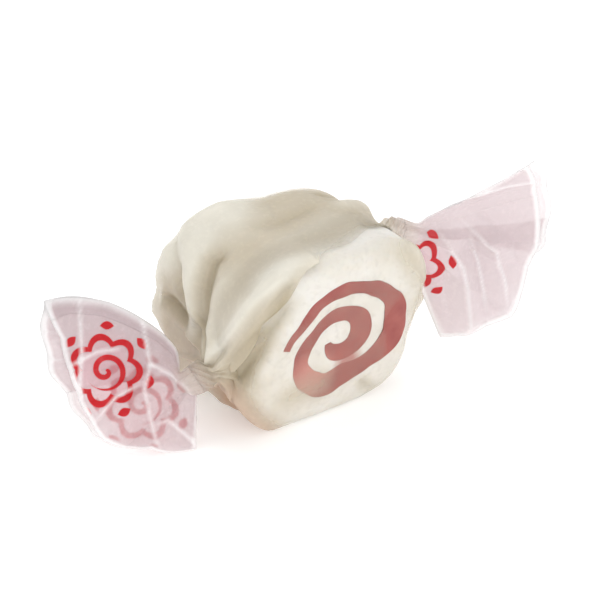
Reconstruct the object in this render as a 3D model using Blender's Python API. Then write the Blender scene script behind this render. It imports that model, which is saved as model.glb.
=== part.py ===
"""A salt water taffy in its twisted wax paper wrapper, lying on a table.

The sweet is a short thick disc of cream taffy with a red swirl that runs right through it.
The paper is rolled round the disc, gathered at two opposite rims, twisted and fanned out.
Metres, +Z up. X runs along the twist, seen from above, and the disc's face looks along -Y.
"""

import math

import bmesh
import bpy
import numpy as np
from mathutils import Matrix, Vector

MM = 0.001

# The sweet: a disc whose outline and edge are both superellipses
DISC_ALONG = 12.4 * MM
DISC_UP = 11.7 * MM
DISC_HALF_THICK = 9.9 * MM
OUTLINE_POWER = 2.9
EDGE_POWER = 7.0

# How it lies: the twist rises to the right, and the face leans over a little
TWIST_RISE = math.radians(20.0)
FACE_LEAN = math.radians(12.0)
REST_FLAT_DEPTH = 1.0 * MM

# The swirl, from its outer end inwards: angle seen on the face, reach and half width, in degrees and mm
SWIRL_STATIONS = (
    (172, 8.60, 0.45), (145, 7.70, 0.75), (112, 7.80, 0.90), (70, 7.20, 0.90), (35, 7.40, 1.15),
    (5, 7.60, 1.60), (-25, 7.30, 1.75), (-52, 6.00, 1.30), (-88, 5.60, 1.70), (-113, 6.40, 1.75),
    (-140, 6.50, 1.35), (-172, 6.20, 1.10), (-205, 5.10, 0.90), (-244, 4.50, 1.00), (-280, 3.60, 1.10),
    (-325, 2.70, 1.50), (-372, 2.20, 1.75), (-430, 1.75, 1.50), (-495, 1.90, 1.10), (-545, 2.40, 0.40),
)
STEPS_PER_STATION = 3
SWIRL_GAP = 0.25 * MM

# The paper
PAPER_GAP = 0.3 * MM
PAPER_WALL = 0.45 * MM
PLAY = PAPER_GAP + PAPER_WALL
NECK_REACH = 14.7 * MM
NECK_RADIUS = 1.8 * MM
NECK_LONG = 1.6 * MM
NECK_SPREADS_OVER = 4.5 * MM
FAN_HALF_THICK = 0.3 * MM
SEAM_ANGLE = 48.0
FLAP_SPAN = 36.0
FLAP_RISE = 0.45 * MM
CORE_RADIUS = 0.5 * MM
CORE_SIDES = 12

# How finely the solids are faceted
AROUND = 60
STEP_ANGLE = 360.0 / AROUND
BODY_ROWS = 12
NECK_ROWS = 2
FAN_ROWS = 8
DISC_STEPS = 44
EDGE_STEPS = 9
PROFILE_SAMPLES = 90
FACING_STEP = 1.0e-3

# The paper near the floor is pressed flat over this height
FLOOR_EASE = 1.6 * MM
FAN_CLEARANCE = 0.02 * MM

# Each end of the wrapper. Ridge angles run from the face, over the top.
LEFT_END = {
    "side": -1.0,
    "neck_shift": (-4.0 * MM, 2.8 * MM),
    "ridges": (-78, -30, 6, 48, 84, 108, 144, 192, 234),
    "pleat_depth": 1.5 * MM,
    "twist": 110.0,
    "fan_to": (-0.844, 0.242, -0.481),
    "fan_spread_along": (-0.242, 0.628, 0.741),
    "fan_half_angle": 56.0,
    "fan_long": 20.3 * MM,
    "folds": ((-15, -1.00, 0.10, 0.46), (-9, -0.42, -0.06, 0.48), (-6, -0.20, 0.08, 0.58),
              (0, 0.12, -0.03, 0.68), (6, 0.46, 0.07, 0.77), (8, 0.60, -0.04, 0.84),
              (15, 1.00, 0.05, 1.00)),
    "curl": 1.2 * MM,
}
RIGHT_END = {
    "side": 1.0,
    "neck_shift": (0.0, 0.8 * MM),
    "ridges": (-60, -18, 30, 66, 102, 150, 180, 222, 264),
    "pleat_depth": 1.5 * MM,
    "twist": 110.0,
    "fan_to": (0.907, -0.234, -0.337),
    "fan_spread_along": (0.282, -0.209, 0.931),
    "fan_half_angle": 50.0,
    "fan_long": 19.5 * MM,
    "folds": ((-15, -1.00, 0.04, 0.90), (-8, -0.45, -0.08, 0.98), (-4, -0.12, 0.10, 1.02),
              (2, 0.20, -0.06, 0.97), (8, 0.55, 0.10, 1.00), (15, 1.00, -0.05, 0.92)),
    "curl": -1.6 * MM,
}

CREAM_COLOUR = (0.86, 0.82, 0.70, 1.0)
SWIRL_COLOUR = (0.62, 0.16, 0.14, 1.0)
PAPER_COLOUR = (0.93, 0.88, 0.88, 1.0)

LIE_ROWS = np.array(Matrix.Rotation(-TWIST_RISE, 3, "Y") @ Matrix.Rotation(FACE_LEAN, 3, "X"))
UP_IN_DISC = LIE_ROWS[2]
SLANT = -UP_IN_DISC[1] / (1.0 - UP_IN_DISC[1] ** 2)


def clear_scene():
    for obj in list(bpy.data.objects):
        bpy.data.objects.remove(obj, do_unlink=True)


def smooth_step(low, high, value):
    share = np.clip((value - low) / (high - low), 0.0, 1.0)
    return share * share * (3.0 - 2.0 * share)


def unit(vector):
    vector = np.asarray(vector, float)
    return vector / np.linalg.norm(vector, axis=-1, keepdims=True)


def turned(vectors, axis, angle):
    """Vectors turned about a unit axis, by Rodrigues' formula."""
    vectors = np.asarray(vectors, float)
    along = (vectors @ axis)[..., None] * axis
    return along + (vectors - along) * math.cos(angle) + np.cross(axis, vectors) * math.sin(angle)


def outline_share(x, z, grow=0.0):
    """How far a point of the face lies out from its middle, as a share of the outline, whose flats are level."""
    level = x * math.cos(TWIST_RISE) - z * math.sin(TWIST_RISE)
    upright = x * math.sin(TWIST_RISE) + z * math.cos(TWIST_RISE)
    return (
        np.abs(level / (DISC_ALONG + grow)) ** OUTLINE_POWER
        + np.abs(upright / (DISC_UP + grow)) ** OUTLINE_POWER
    ) ** (1.0 / OUTLINE_POWER)


def disc_reach(directions, grow=0.0):
    """How far the disc's surface, grown all round by grow, lies from its centre along unit directions."""
    across = outline_share(directions[..., 0], directions[..., 2], grow) ** EDGE_POWER
    through = np.abs(directions[..., 1] / (DISC_HALF_THICK + grow)) ** EDGE_POWER
    return (across + through) ** (-1.0 / EDGE_POWER)


def slanted(points):
    """The soft disc sags, so that its side lies level while its face leans over."""
    points = np.array(points, float)
    points[..., 0] += SLANT * UP_IN_DISC[0] * points[..., 1]
    points[..., 2] += SLANT * UP_IN_DISC[2] * points[..., 1]
    return points


def laid_down(points, centre):
    """From the disc's own frame to where it lies."""
    return slanted(points) @ LIE_ROWS.T + centre


def mesh_object(name, bm, colour, roughness):
    mesh = bpy.data.meshes.new(name)
    bm.to_mesh(mesh)
    bm.free()
    obj = bpy.data.objects.new(name, mesh)
    bpy.context.scene.collection.objects.link(obj)
    material = bpy.data.materials.new(name)
    material.use_nodes = True
    shader = material.node_tree.nodes["Principled BSDF"]
    shader.inputs["Base Color"].default_value = colour
    shader.inputs["Roughness"].default_value = roughness
    mesh.materials.append(material)
    mesh.shade_smooth()
    mesh.set_sharp_from_angle(angle=math.radians(35.0))
    return obj


def disc_mesh(grow, centre, floor):
    """The disc, grown all round by grow and flat where it would pass the floor."""
    bm = bmesh.new()
    profile = []
    for step in range(2 * EDGE_STEPS + 1):
        angle = math.pi / 2 * (1.0 - step / EDGE_STEPS)
        out = abs(math.cos(angle)) ** (2.0 / EDGE_POWER)
        along = math.copysign(abs(math.sin(angle)) ** (2.0 / EDGE_POWER), angle)
        profile.append(bm.verts.new((0.0 if step in (0, 2 * EDGE_STEPS) else out, along, 0.0)))
    edges = [bm.edges.new(pair) for pair in zip(profile, profile[1:])]
    bmesh.ops.spin(
        bm, geom=profile + edges, cent=(0, 0, 0), axis=(0, 1, 0), angle=2 * math.pi,
        steps=DISC_STEPS, use_merge=True,
    )
    bmesh.ops.remove_doubles(bm, verts=bm.verts, dist=1e-5)
    for vert in bm.verts:
        direction = unit(
            (vert.co.x * DISC_ALONG, vert.co.y * DISC_HALF_THICK, vert.co.z * DISC_UP)
        )
        point = laid_down(direction * disc_reach(direction, grow), centre)
        vert.co = (point[0], point[1], max(point[2], floor))
    bmesh.ops.recalc_face_normals(bm, faces=bm.faces)
    return bm


def through(stations, steps):
    """Rows of numbers that run smoothly through the stations, with steps rows from each to the next."""
    known = np.array(stations, float)
    known = np.vstack([2 * known[0] - known[1], known, 2 * known[-1] - known[-2]])
    rows = []
    for first, second, third, fourth in zip(known, known[1:], known[2:], known[3:]):
        for u in np.arange(steps) / steps:
            rows.append(0.5 * (2 * second + (third - first) * u
                               + (2 * first - 5 * second + 4 * third - fourth) * u**2
                               + (3 * second - first - 3 * third + fourth) * u**3))
    return np.array(rows + [known[-2]])


def swirl_line():
    """The middle of the swirl's strip on the face, and half its width there, from the outer end in."""
    angle, reach, half = through(SWIRL_STATIONS, STEPS_PER_STATION).T
    angle = np.radians(angle) - TWIST_RISE
    return np.column_stack([reach * np.cos(angle), reach * np.sin(angle)]) * MM, half * MM


def swirl_mesh(grow, half_long, centre):
    """The swirl's strip, extruded through the disc. It ends on the faces, or at half_long if that is given."""
    line, half = swirl_line()
    along = unit(np.gradient(line, axis=0))
    across = np.column_stack([-along[:, 1], along[:, 0]])
    line[0] -= along[0] * grow
    line[-1] += along[-1] * grow
    width = (half + grow)[:, None]
    outline = np.concatenate([line + across * width, (line - across * width)[::-1]])
    bm = bmesh.new()
    face = bm.faces.new([bm.verts.new((x, -1.0, z)) for x, z in outline])
    made = bmesh.ops.extrude_face_region(bm, geom=[face])["geom"]
    bmesh.ops.translate(
        bm, verts=[g for g in made if isinstance(g, bmesh.types.BMVert)], vec=(0.0, 2.0, 0.0)
    )
    for vert in bm.verts:
        filled = outline_share(vert.co.x, vert.co.z) ** EDGE_POWER
        reach = half_long or DISC_HALF_THICK * (1.0 - filled) ** (1.0 / EDGE_POWER)
        vert.co.y *= reach
        vert.co = Vector(laid_down(vert.co, centre))
    bmesh.ops.recalc_face_normals(bm, faces=bm.faces)
    bmesh.ops.triangulate(bm, faces=bm.faces, ngon_method="EAR_CLIP")
    return bm


def pleats(theta, ridges):
    """0 on each ridge of the gathered paper and 1 in each valley, which lies nearer the ridge before it."""
    angles, heights = [], []
    for ridge, following in zip(ridges, (*ridges[1:], ridges[0] + 360)):
        valley = STEP_ANGLE * round((ridge + 0.4 * (following - ridge)) / STEP_ANGLE)
        angles += [ridge, valley]
        heights += [0.0, 1.0]
    return np.interp(theta, angles, heights, period=360.0)


def flap(theta):
    """How high the paper's outer layer stands over the inner one. Its free edge is at SEAM_ANGLE."""
    past = (theta - SEAM_ANGLE) % 360.0
    return FLAP_RISE * np.clip(1.0 - past / FLAP_SPAN, 0.0, 1.0) ** 1.5


def half_body(theta, end):
    """Rows of the taut paper at one angle, from the disc's middle to the neck, in the disc's frame."""
    lean = np.linspace(0.0, math.pi / 2, PROFILE_SAMPLES)
    compass = np.radians(theta)
    directions = np.column_stack([
        end["side"] * np.sin(lean),
        -np.cos(lean) * math.cos(compass),
        np.cos(lean) * math.sin(compass),
    ])
    reach = disc_reach(directions, PLAY)
    along, out = reach * np.sin(lean), reach * np.cos(lean)
    leaves = int(np.argmax(np.arctan2(out - NECK_RADIUS, NECK_REACH - along)))
    along = np.append(along[: leaves + 1], NECK_REACH)
    out = np.append(out[: leaves + 1], NECK_RADIUS)
    length = np.append(0.0, np.cumsum(np.hypot(np.diff(along), np.diff(out))))
    at = np.linspace(0.0, length[-1], BODY_ROWS + 1)
    free = np.clip((at - length[-2]) / (length[-1] - length[-2]), 0.0, 1.0)
    along, out = np.interp(at, length, along), np.interp(at, length, out)
    inward = unit((NECK_RADIUS - reach[leaves] * math.cos(lean[leaves]),
                   reach[leaves] * math.sin(lean[leaves]) - NECK_REACH))
    deep = end["pleat_depth"] * smooth_step(0.0, 0.5, free) * (1.0 - 0.55 * smooth_step(0.6, 1.0, free))
    deep *= pleats(theta, end["ridges"])
    lift = flap(theta) * (1.0 - smooth_step(0.3, 1.0, free))
    along, out = along + inward[0] * deep, out + inward[1] * deep + lift
    drawn = smooth_step(0.0, 1.0, free)
    points = np.column_stack([
        end["side"] * along,
        -out * math.cos(compass) + end["neck_shift"][0] * drawn,
        out * math.sin(compass) + end["neck_shift"][1] * drawn,
    ])
    far = np.linalg.norm(points, axis=1)
    least = disc_reach(unit(points), PLAY)
    return points * np.maximum(1.0, least / far)[:, None]


def neck_frames(end, centre):
    """Where the neck's rings are centred, and the two directions across each, as it bends over to the fan."""
    start = LIE_ROWS @ np.array([end["side"], 0.0, 0.0])
    finish = unit(end["fan_to"])
    axis = unit(np.cross(start, finish))
    bend = math.acos(float(np.clip(start @ finish, -1.0, 1.0)))
    place = laid_down(np.array([end["side"] * NECK_REACH, *end["neck_shift"]]), centre)
    across, up = LIE_ROWS @ np.array([0.0, -1.0, 0.0]), LIE_ROWS @ np.array([0.0, 0.0, 1.0])
    frames = []
    for row in range(1, NECK_ROWS + 1):
        angle = bend * row / NECK_ROWS
        heading = turned(start, axis, angle)
        place = place + heading * NECK_LONG / NECK_ROWS
        frames.append((place, turned(across, axis, angle), turned(up, axis, angle), row / NECK_ROWS))
    return frames, finish


def fan_sheet(end, q, reach, root, heading, spread, normal):
    """A point of the fan's middle sheet, flat between its folds. q runs across the sheet from -1 to 1."""
    steps, shares, depths, reaches = zip(*end["folds"])
    places = 4.0 * np.array(steps) / AROUND
    angle = math.radians(end["fan_half_angle"]) * np.interp(q, places, shares)
    depth = np.interp(q, places, depths)
    length = reach * np.interp(q, places, reaches)
    point = root + length * (math.cos(angle) * heading + math.sin(angle) * spread + depth * normal)
    share = reach / end["fan_long"]
    return point + normal * end["curl"] * share**2 * math.sin(angle) ** 2


def outer_fold(end, frame, heading):
    """The column of the grid that runs down the fan's outer fold, and the way the fan spreads."""
    _, across, up, _ = frame
    spread = unit(end["fan_spread_along"] - np.dot(end["fan_spread_along"], heading) * heading)
    compass = math.degrees(math.atan2(spread @ up, spread @ across)) - end["twist"]
    return round(compass / STEP_ANGLE) % AROUND, spread


def fan_row(end, theta, reach, frame, heading):
    """One ring of the fan: a ring of the neck that opens into the folded sheet, front and back."""
    root, across, up, _ = frame
    fold, spread = outer_fold(end, frame, heading)
    handed = math.copysign(1.0, np.cross(across, up) @ heading)
    normal = handed * np.cross(heading, spread)
    opened = smooth_step(0.0, NECK_SPREADS_OVER, reach)
    rows = []
    for angle in theta:
        alpha = (angle - fold * STEP_ANGLE + 180.0) % 360.0 - 180.0
        q = 1.0 - abs(alpha) / 90.0
        here = fan_sheet(end, q, reach, root, heading, spread, normal)
        ahead = fan_sheet(end, min(q + FACING_STEP, 1.0), reach, root, heading, spread, normal)
        behind = fan_sheet(end, max(q - FACING_STEP, -1.0), reach, root, heading, spread, normal)
        further = fan_sheet(end, q, reach * (1.0 + FACING_STEP), root, heading, spread, normal)
        facing = handed * unit(np.cross(further - here, ahead - behind))
        on_fold = min(abs(alpha), 180.0 - abs(alpha)) < 0.5 * STEP_ANGLE
        side = 0.0 if on_fold else math.copysign(1.0, alpha)
        sheet = here + facing * side * FAN_HALF_THICK
        compass = math.radians(angle + end["twist"])
        ring = root + reach * heading + NECK_RADIUS * (
            math.cos(compass) * across + math.sin(compass) * up
        )
        rows.append(ring * (1.0 - opened) + sheet * opened)
    return np.array(rows)


def end_rows(end, theta, centre):
    """Rings of one end, from the disc's middle out to the fan's cut edge, and the fan's outer fold."""
    body = np.array([half_body(angle, end) for angle in theta])
    rows = [laid_down(body[:, row], centre) for row in range(BODY_ROWS + 1)]
    rows = [np.column_stack([r[:, 0], r[:, 1], np.maximum(r[:, 2], 0.0)]) for r in rows]
    frames, heading = neck_frames(end, centre)
    folded = NECK_RADIUS * (1.0 - 0.16 * pleats(theta, end["ridges"]))[:, None]
    for place, across, up, share in frames:
        compass = np.radians(theta + end["twist"] * share)[:, None]
        rows.append(place + folded * (np.cos(compass) * across + np.sin(compass) * up))
    for step in range(1, FAN_ROWS + 1):
        reach = end["fan_long"] * step / FAN_ROWS
        row = fan_row(end, theta, reach, frames[-1], heading)
        low = row[:, 2] < FLOOR_EASE
        row[low, 2] = FLOOR_EASE * np.exp(row[low, 2] / FLOOR_EASE - 1.0)
        row[:, 2] = np.maximum(row[:, 2], FAN_CLEARANCE)
        rows.append(row)
    return rows, outer_fold(end, frames[-1], heading)[0]


def wrapper_mesh(centre):
    """The outside of the wrapper: a grid rolled into a tube, gathered at its ends, its cut edges closed."""
    theta = np.arange(AROUND) * STEP_ANGLE
    (left, left_fold), (right, right_fold) = (end_rows(end, theta, centre) for end in (LEFT_END, RIGHT_END))
    rows = left[::-1] + right[1:]
    last = len(rows) - 1
    bm = bmesh.new()
    bmesh.ops.create_grid(bm, x_segments=AROUND, y_segments=last, size=1.0)
    placed = {}
    doubles = {}
    for vert in bm.verts:
        column = round((vert.co.x + 1.0) / 2.0 * AROUND) % AROUND
        row = round((vert.co.y + 1.0) / 2.0 * last)
        vert.co = rows[row][column]
        first = placed.setdefault((row, column), vert)
        if first is not vert:
            doubles[vert] = first
    bmesh.ops.weld_verts(bm, targetmap=doubles)
    close_rim(bm, [placed[0, column] for column in range(AROUND)], left_fold)
    close_rim(bm, [placed[last, column] for column in range(AROUND)], right_fold)
    bmesh.ops.recalc_face_normals(bm, faces=bm.faces)
    bmesh.ops.triangulate(bm, faces=bm.faces)
    return bm


def close_rim(bm, rim, fold):
    """Joins the front layer's cut edge to the back layer's, from one outer fold of the fan to the other."""
    pairs = [(rim[(fold + step) % AROUND], rim[(fold - step) % AROUND]) for step in range(AROUND // 2 + 1)]
    for (front, back), (next_front, next_back) in zip(pairs, pairs[1:]):
        corners = dict.fromkeys((front, next_front, next_back, back))
        bm.faces.new(tuple(corners))


def core_mesh(centre):
    """The open core of the left twist, from inside the paper to where the neck bends over to its fan."""
    frames, heading = neck_frames(LEFT_END, centre)
    start = laid_down(np.array([-0.9 * DISC_ALONG, 0.0, 0.0]), centre)
    away = LIE_ROWS @ np.array([-1.0, 0.0, 0.0]) - heading
    finish = frames[1][0] + 3.0 * NECK_RADIUS * unit(away)
    bm = bmesh.new()
    made = bmesh.ops.create_cone(
        bm, cap_ends=True, segments=CORE_SIDES, radius1=CORE_RADIUS, radius2=CORE_RADIUS,
        depth=float(np.linalg.norm(finish - start)),
    )
    turn = Vector((0, 0, 1)).rotation_difference(Vector(finish - start)).to_matrix().to_4x4()
    bmesh.ops.transform(bm, verts=made["verts"], matrix=Matrix.Translation((start + finish) / 2) @ turn)
    return bm


def cut_out(obj, *cutters):
    """Takes each cutter's shape out of the object."""
    for cutter in cutters:
        cutter.hide_render = True
        cutter.display_type = "WIRE"
        cut = obj.modifiers.new("cut " + cutter.name, "BOOLEAN")
        cut.operation = "DIFFERENCE"
        cut.solver = "EXACT"
        cut.object = cutter


def resting_height():
    """How high the disc's middle lies, so that the paper under it is pressed flat on the table."""
    azimuth, height = np.meshgrid(np.linspace(0, 2 * math.pi, 181), np.linspace(-1.0, 1.0, 91))
    flat = np.sqrt(1.0 - height**2)
    directions = np.stack([flat * np.cos(azimuth), flat * np.sin(azimuth), height], axis=-1)
    surface = slanted(directions * disc_reach(directions, PLAY)[..., None]) @ LIE_ROWS.T
    return -surface[..., 2].min() - REST_FLAT_DEPTH


def centre_over_origin(objects, outermost):
    """Moves the whole part so that the middle of its box is over the origin."""
    xs, ys = zip(*[(v.co.x, v.co.y) for v in outermost.data.vertices])
    shift = Matrix.Translation((-(min(xs) + max(xs)) / 2, -(min(ys) + max(ys)) / 2, 0.0))
    for obj in objects:
        obj.data.transform(shift)


def main():
    clear_scene()
    centre = np.array([0.0, 0.0, resting_height()])
    taffy = mesh_object("taffy", disc_mesh(0.0, centre, PLAY), CREAM_COLOUR, 0.5)
    slot = mesh_object("swirl slot", swirl_mesh(SWIRL_GAP, 1.5 * DISC_HALF_THICK, centre), SWIRL_COLOUR, 0.5)
    swirl = mesh_object("swirl", swirl_mesh(0.0, None, centre), SWIRL_COLOUR, 0.5)
    wrapper = mesh_object("wrapper", wrapper_mesh(centre), PAPER_COLOUR, 0.35)
    hollow = mesh_object("hollow", disc_mesh(PAPER_GAP, centre, PAPER_WALL), PAPER_COLOUR, 0.35)
    core = mesh_object("core", core_mesh(centre), PAPER_COLOUR, 0.35)
    cut_out(taffy, slot)
    cut_out(wrapper, hollow, core)
    centre_over_origin((taffy, slot, swirl, wrapper, hollow, core), wrapper)


main()
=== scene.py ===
"""How a salt water taffy looks: a soft cream sweet with a red swirl, twisted up in waxed paper.

Metres, +Z up. X runs along the twist, and the sweet's swirled face looks along -Y.
"""

import math

import bmesh
import bpy
import numpy as np
from mathutils import Matrix, Vector


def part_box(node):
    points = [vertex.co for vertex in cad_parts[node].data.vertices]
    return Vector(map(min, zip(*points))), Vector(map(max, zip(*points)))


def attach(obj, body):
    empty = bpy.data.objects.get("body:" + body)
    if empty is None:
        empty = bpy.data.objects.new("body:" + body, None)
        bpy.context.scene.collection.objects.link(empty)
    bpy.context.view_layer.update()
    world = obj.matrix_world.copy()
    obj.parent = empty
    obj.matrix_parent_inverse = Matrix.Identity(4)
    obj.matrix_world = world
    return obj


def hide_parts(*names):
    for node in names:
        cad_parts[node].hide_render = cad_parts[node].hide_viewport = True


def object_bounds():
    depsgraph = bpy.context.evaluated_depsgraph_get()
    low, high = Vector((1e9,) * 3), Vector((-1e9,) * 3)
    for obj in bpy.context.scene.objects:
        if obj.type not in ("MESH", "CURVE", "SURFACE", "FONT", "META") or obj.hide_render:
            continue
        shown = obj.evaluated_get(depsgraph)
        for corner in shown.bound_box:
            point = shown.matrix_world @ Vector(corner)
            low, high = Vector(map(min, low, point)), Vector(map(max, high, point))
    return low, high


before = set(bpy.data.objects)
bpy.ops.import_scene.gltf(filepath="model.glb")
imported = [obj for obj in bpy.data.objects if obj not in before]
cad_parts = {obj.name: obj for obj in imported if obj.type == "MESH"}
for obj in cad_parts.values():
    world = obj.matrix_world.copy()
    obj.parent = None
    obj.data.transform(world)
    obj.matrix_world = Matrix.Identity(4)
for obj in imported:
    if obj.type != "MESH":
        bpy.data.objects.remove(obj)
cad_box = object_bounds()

MM = 0.001

# The sweet's shape and how it lies, as in the CAD part
DISC_ALONG = 12.4 * MM
DISC_UP = 11.7 * MM
DISC_HALF_THICK = 9.9 * MM
OUTLINE_POWER = 2.9
EDGE_POWER = 7.0
TWIST_RISE = math.radians(20.0)
FACE_LEAN = math.radians(12.0)
LIE_ROWS = np.array(Matrix.Rotation(-TWIST_RISE, 3, "Y") @ Matrix.Rotation(FACE_LEAN, 3, "X"))
UP_IN_DISC = LIE_ROWS[2]
SLANT = -UP_IN_DISC[1] / (1.0 - UP_IN_DISC[1] ** 2)

# The sweet fills the paper, and sags unevenly
SWEET_GROWS = 0.42 * MM
SWEET_UNEVEN = 0.22 * MM
SWEET_FLOOR = 0.12 * MM
SPIN_STEPS = 150
EDGE_STEPS = 34

# The swirl, from its outer end inwards: angle seen on the face, reach and half width, in degrees and mm
SWIRL_STATIONS = (
    (172, 8.60, 0.45), (145, 7.70, 0.75), (112, 7.80, 0.90), (70, 7.20, 0.90), (35, 7.40, 1.15),
    (5, 7.60, 1.60), (-25, 7.30, 1.75), (-52, 6.00, 1.30), (-88, 5.60, 1.70), (-113, 6.40, 1.75),
    (-140, 6.50, 1.35), (-172, 6.20, 1.10), (-205, 5.10, 0.90), (-244, 4.50, 1.00), (-280, 3.60, 1.10),
    (-325, 2.70, 1.50), (-372, 2.20, 1.75), (-430, 1.75, 1.50), (-495, 1.90, 1.10), (-545, 2.40, 0.40),
)
SWIRL_STEPS = 16
SWIRL_WAVER = 0.13 * MM
SWIRL_PROUD = 0.03 * MM
SWIRL_GAP = 0.02 * MM
SLOT_PAST_FACE = 3.0 * MM
SHARP_ANGLE = math.radians(40.0)

# The paper: one sheet, rolled a little more than once round the sweet. Angles are in degrees
FILM_GAP = 0.50 * MM
FILM_SPIRAL = 0.12 * MM
FILM_THICK = 0.05 * MM
SHEET_TURNS = 396.0
SEAM_ANGLE = 48.0
COLUMNS = 396
BODY_ROWS = 44
NECK_ROWS = 5
FAN_ROWS = 60
TABLE_STEP = 1.0
PROFILE_SAMPLES = 120
NECK_REACH = 14.7 * MM
NECK_RADIUS = 1.8 * MM
NECK_LONG = 1.6 * MM
NECK_PLEAT = 0.16
NECK_SPREADS_OVER = 4.5 * MM
TWIST = 110.0
PLEAT_DEPTH = 1.5 * MM
FINE_PLEAT_DEPTH = 0.5 * MM
PLEAT_ANGLE_STEP = 6.0
RIDGE_LIFT = 0.55 * MM
RIDGE_STARTS = 7.0 * MM
FLOOR_EASE = 1.6 * MM
TABLE_CLEARANCE = 0.06 * MM
LAYERS_APART = 0.28 * MM
LAYERS_SPREAD = 0.5 * MM
WHITE_LINE_WIDTH = 0.46
UNPRINTED = 9.0

# The sheet's free edge: how far round it lifts and wavers, and how high it stands
FLAP_ROUND = 42.0
FLAP_STANDS = 0.35 * MM
FLAP_LIFTS = 1.05 * MM
SEAM_ROUND = 70.0

# Creases of the body: height and width in mm, then points as lean towards the right neck and angle round
CREASE_REACH = 12.0 * MM
CREASES = (
    (0.7, 2.2, ((-14, 53), (0, 50), (15, 48), (32, 46), (42, 44), (47, 34), (50, 18), (54, -6), (48, -30))),
    (-1.0, 1.7, ((-72, 4), (-60, 14), (-46, 31), (-35, 41), (-21, 47), (-6, 50))),
    (-1.1, 1.5, ((-78, 60), (-66, 80), (-55, 88), (-40, 97), (-30, 101), (-25, 99), (-25, 92))),
    (-0.6, 1.0, ((-62, 35), (-57, 38), (-50, 41), (-42, 44), (-31, 46), (-24, 50), (-18, 53), (-13, 54),
                 (-6, 55))),
    (0.5, 0.9, ((-70, 52), (-58, 53), (-44, 56), (-30, 59), (-18, 60), (-8, 60))),
    (0.7, 2.6, ((-70, 60), (-54, 76), (-38, 84), (-22, 86))),
    (-0.9, 1.2, ((-18, 128), (-24, 127), (-36, 118), (-48, 119), (-62, 108))),
    (-1.1, 1.2, ((-40, 150), (-46, 146), (-52, 134), (-60, 124), (-70, 116))),
    (1.2, 2.2, ((-18, 140), (-32, 142), (-42, 150), (-50, 158), (-60, 160))),
    (0.9, 2.4, ((-16, 113), (-26, 114), (-45, 108), (-62, 98), (-76, 90))),
    (0.8, 2.6, ((-74, 40), (-62, 50), (-50, 56), (-34, 61), (-16, 63), (0, 66))),
    (0.9, 1.8, ((-84, 10), (-72, 8), (-62, -11), (-52, -27), (-44, -40), (-36, -50))),
    (-0.9, 1.8, ((-84, -30), (-66, -36), (-54, -48), (-44, -60), (-34, -70))),
    (-0.6, 1.2, ((2, -37), (6, -45), (11, -54))),
    (0.8, 3.2, ((-30, 63), (-18, 63), (-8, 62), (2, 60), (12, 56), (24, 52))),
    (1.7, 7.0, ((-44, 134), (-26, 127), (-8, 122), (16, 116))),
    (0.4, 2.2, ((-12, 84), (4, 80), (20, 80), (36, 84), (50, 88))),
    (-0.4, 1.6, ((-10, 100), (8, 98), (26, 100), (44, 108))),
    (-0.7, 1.6, ((40, 62), (52, 68), (64, 74), (78, 80))),
    (0.8, 1.8, ((40, 92), (52, 98), (64, 104), (78, 110))),
    (-0.9, 1.5, ((40, 124), (52, 128), (66, 134), (80, 140))),
    (0.8, 2.0, ((28, 150), (46, 158), (62, 166), (78, 170))),
    (-0.8, 1.5, ((40, 190), (56, 196), (72, 204))),
    (-0.8, 1.5, ((-34, 176), (-50, 180), (-68, 186))),
    (0.8, 2.0, ((-20, 200), (-42, 206), (-64, 214))),
    (-0.8, 1.5, ((-30, 228), (-52, 234), (-72, 240))),
    (0.6, 2.0, ((20, 224), (44, 230), (68, 236))),
    (-0.8, 1.5, ((50, -16), (60, -10), (72, -4))),
    (0.8, 1.8, ((44, -46), (56, -44), (72, -40))),
)

# Other places on the sweet, in the same angles: its flat corner, painted brown shade under the left neck,
# where the red has bled into the cream, where the swirl is pale, and a haze on the face
FLAT_CORNER = (-1.0, 4.6, ((42, 10), (40, -20), (38, -40), (37, -60), (36, -90), (37, -120), (40, -160)))
PAINTED_UNDERSIDE_SHADE = (4.2, ((-86, -4), (-68, -20), (-58, -40), (-50, -62), (-44, -84)))
BLEED_AT = (-1.5, -21.5)
PALE_AT = (-28.0, -12.0)
FACE_HAZE = (3.3, ((-48, -4), (-28, -9), (-8, -20)))

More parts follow.
